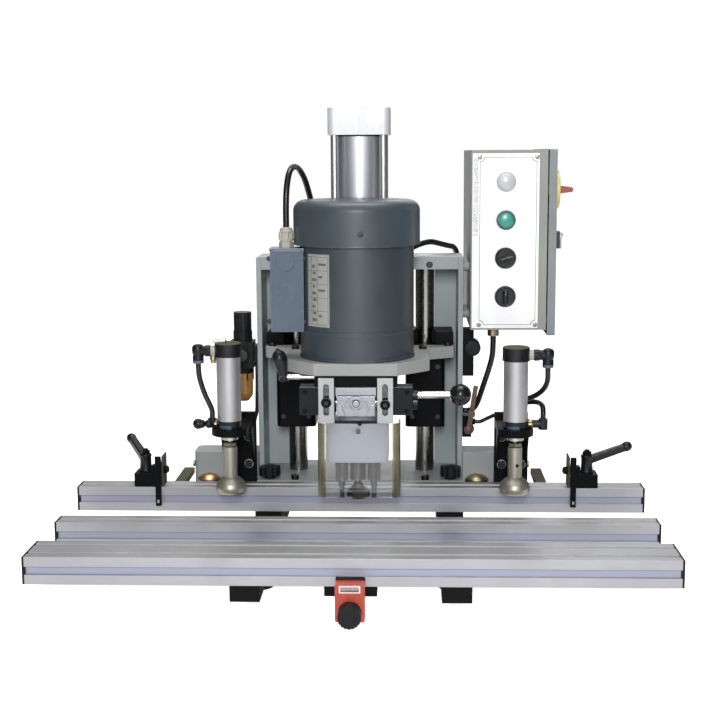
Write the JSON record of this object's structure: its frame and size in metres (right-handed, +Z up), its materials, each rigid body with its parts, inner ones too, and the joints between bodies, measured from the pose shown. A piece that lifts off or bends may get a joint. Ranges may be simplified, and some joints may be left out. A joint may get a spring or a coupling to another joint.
{
  "type": "hinge boring machine",
  "caption": "Bench-top hinge boring machine with a column-guided press head, three-spindle gearbox, table rails, flip stops, air clamps and control box.",
  "frame": {"origin": "centre of the bounding box, on the surface that the levelling feet stand on", "axes": "+X along the rails to the operator's right, +Y from the operator towards the columns, +Z up"},
  "size_m": [0.871, 0.655, 0.691],
  "materials": {
    "black_plastic": "fine-textured black plastic",
    "black_paint": "satin black enamel",
    "aluminium": "natural anodised extrusion",
    "steel": "turned steel",
    "red_plastic": "moulded orange-red plastic",
    "base_grey": "hammered grey enamel",
    "machine_grey": "satin grey-green enamel",
    "chrome": "hard chrome, polished",
    "cast_aluminium": "bead-blasted aluminium",
    "plate_grey": "hammered beige-grey enamel",
    "motor_grey": "satin blue-grey enamel",
    "dark_steel": "ground and blackened steel",
    "clear_plastic": "clear polycarbonate",
    "box_grey": "orange-peel grey powder coat",
    "yellow_plastic": "moulded yellow plastic",
    "green_plastic": "moulded green plastic",
    "lamp_white": "milky lens",
    "brown_plastic": "brown lever coating",
    "rubber": "black cable jacket"
  },
  "bodies": {
    "frame": {"levelling_feet": "black_plastic", "skid_bars": "black_paint", "table_rails": "aluminium", "fence_rail": "aluminium", "rail_end_caps": "black_plastic", "fence_arms": "steel", "indicator_bracket": "black_paint", "indicator_body": "red_plastic", "base_casting": "base_grey", "frame_cheeks": "machine_grey", "top_bar": "machine_grey", "guide_columns": "chrome", "cylinder_caps": "cast_aluminium", "cylinder_barrel": "aluminium", "clamp_tubes": "aluminium", "clamp_fittings": "black_plastic", "clamp_brackets": "black_paint", "control_box": "box_grey", "signal_lamp": "lamp_white", "air_regulator": "black_plastic", "lever_valve": "black_paint", "control_cable": "rubber", "air_hoses": "rubber"},
    "press_head": {"piston_rod": "chrome", "carriage_plate": "plate_grey", "bearing_housings": "black_paint", "motor_body": "motor_grey", "fan_cover": "motor_grey", "terminal_box": "motor_grey", "gearbox_case": "cast_aluminium", "insertion_block": "dark_steel", "guard_brackets": "cast_aluminium", "guard": "clear_plastic", "motor_cable": "rubber"},
    "main_drive": {"motor_rotor": "steel", "centre_spindle": "dark_steel", "cup_bit": "steel"},
    "left_drill": {"left_spindle": "dark_steel"},
    "right_drill": {"right_spindle": "dark_steel"},
    "insertion_arm": {"insertion_handle": "black_plastic", "insertion_die": "cast_aluminium"},
    "swing_lock": {"lock_lever": "black_plastic"},
    "left_hold_down": {"left_clamp_rod": "steel"},
    "right_hold_down": {"right_clamp_rod": "steel"},
    "left_stop": {"left_stop_block": "black_paint"},
    "right_stop": {"right_stop_block": "black_paint"},
    "left_stop_flip": {"left_stop_plate": "black_paint"},
    "right_stop_flip": {"right_stop_plate": "black_paint"},
    "left_stop_ratchet": {"left_stop_lever": "black_plastic"},
    "right_stop_ratchet": {"right_stop_lever": "black_plastic"},
    "door": {"box_door": "box_grey"},
    "disconnect": {"disconnect_handle": "yellow_plastic"},
    "start": {"start_button": "green_plastic"},
    "selector_upper": {"upper_selector": "black_plastic"},
    "selector_lower": {"lower_selector": "black_plastic"},
    "pressure_knob": {"regulator_knob": "black_plastic"},
    "hand_valve": {"valve_lever": "brown_plastic"},
    "depth_knob": {"indicator_knob": "black_plastic"},
    "left_star": {"left_star_knob": "black_plastic"},
    "right_star": {"right_star_knob": "black_plastic"}
  },
  "joints": [
    {"name": "head_slide", "type": "slide", "parent": "frame", "child": "press_head", "axis": [0, 0, 1], "range_m": [-0.004, 0.03]},
    {"name": "drive_spin", "type": "hinge", "parent": "press_head", "child": "main_drive", "pos_m": [0, -0.0015, 0.198], "axis": [0, 0, 1], "continuous": true},
    {"name": "left_drill_spin", "type": "hinge", "parent": "press_head", "child": "left_drill", "pos_m": [-0.024, -0.0075, 0.198], "axis": [0, 0, 1], "continuous": true},
    {"name": "right_drill_spin", "type": "hinge", "parent": "press_head", "child": "right_drill", "pos_m": [0.024, -0.0075, 0.198], "axis": [0, 0, 1], "continuous": true},
    {"name": "insertion_swing", "type": "hinge", "parent": "press_head", "child": "insertion_arm", "pos_m": [0, -0.0505, 0.263], "axis": [1, 0, 0], "range_deg": [0, 90]},
    {"name": "lock_turn", "type": "hinge", "parent": "press_head", "child": "swing_lock", "pos_m": [-0.105, -0.0605, 0.302], "axis": [1, 0, 0], "range_deg": [0, 75]},
    {"name": "left_clamp_slide", "type": "slide", "parent": "frame", "child": "left_hold_down", "axis": [0, 0, 1], "range_m": [-0.018, 0.003]},
    {"name": "right_clamp_slide", "type": "slide", "parent": "frame", "child": "right_hold_down", "axis": [0, 0, 1], "range_m": [-0.018, 0.003]},
    {"name": "left_stop_slide", "type": "slide", "parent": "frame", "child": "left_stop", "axis": [1, 0, 0], "range_m": [-0.045, 0.06]},
    {"name": "right_stop_slide", "type": "slide", "parent": "frame", "child": "right_stop", "axis": [1, 0, 0], "range_m": [-0.06, 0.045]},
    {"name": "left_stop_lift", "type": "hinge", "parent": "left_stop", "child": "left_stop_flip", "pos_m": [-0.308, 0.0275, 0.1425], "axis": [1, 0, 0], "range_deg": [-90, 0]},
    {"name": "right_stop_lift", "type": "hinge", "parent": "right_stop", "child": "right_stop_flip", "pos_m": [0.326, 0.0275, 0.1425], "axis": [1, 0, 0], "range_deg": [-90, 0]},
    {"name": "left_ratchet_turn", "type": "hinge", "parent": "left_stop", "child": "left_stop_ratchet", "pos_m": [-0.331, 0.0395, 0.148], "axis": [0, 0, 1], "range_deg": [-55, 55]},
    {"name": "right_ratchet_turn", "type": "hinge", "parent": "right_stop", "child": "right_stop_ratchet", "pos_m": [0.349, 0.0395, 0.148], "axis": [0, 0, 1], "range_deg": [-55, 55]},
    {"name": "door_swing", "type": "hinge", "parent": "frame", "child": "door", "pos_m": [0.3015, 0.324, 0.491], "axis": [0, 0, 1], "range_deg": [0, 100]},
    {"name": "disconnect_turn", "type": "hinge", "parent": "door", "child": "disconnect", "pos_m": [0.298, 0.1025, 0.566], "axis": [1, 0, 0], "range_deg": [-90, 0]},
    {"name": "start_press", "type": "slide", "parent": "frame", "child": "start", "axis": [0, 1, 0], "range_m": [0, 0.004], "stiffness_N_per_m": 400},
    {"name": "upper_selector_turn", "type": "hinge", "parent": "frame", "child": "selector_upper", "pos_m": [0.222, 0.0475, 0.465], "axis": [0, 1, 0], "range_deg": [-58, 32]},
    {"name": "lower_selector_turn", "type": "hinge", "parent": "frame", "child": "selector_lower", "pos_m": [0.222, 0.0475, 0.407], "axis": [0, 1, 0], "range_deg": [-45, 45]},
    {"name": "pressure_turn", "type": "hinge", "parent": "frame", "child": "pressure_knob", "pos_m": [-0.186, 0.1175, 0.358], "axis": [0, 0, 1], "continuous": true},
    {"name": "hand_valve_turn", "type": "hinge", "parent": "frame", "child": "hand_valve", "pos_m": [0.17, 0.0975, 0.194], "axis": [0, 1, 0], "range_deg": [-9, 30]},
    {"name": "depth_turn", "type": "hinge", "parent": "frame", "child": "depth_knob", "pos_m": [0, -0.2825, 0.033], "axis": [0, 1, 0], "continuous": true},
    {"name": "left_star_turn", "type": "hinge", "parent": "frame", "child": "left_star", "pos_m": [-0.142, 0.0765, 0.138], "axis": [0, 0, 1], "continuous": true},
    {"name": "right_star_turn", "type": "hinge", "parent": "frame", "child": "right_star", "pos_m": [0.142, 0.0765, 0.138], "axis": [0, 0, 1], "continuous": true}
  ],
  "couplings": [
    {"joint": "left_drill_spin", "follows": "drive_spin", "ratio": -1},
    {"joint": "right_drill_spin", "follows": "drive_spin", "ratio": -1}
  ]
}
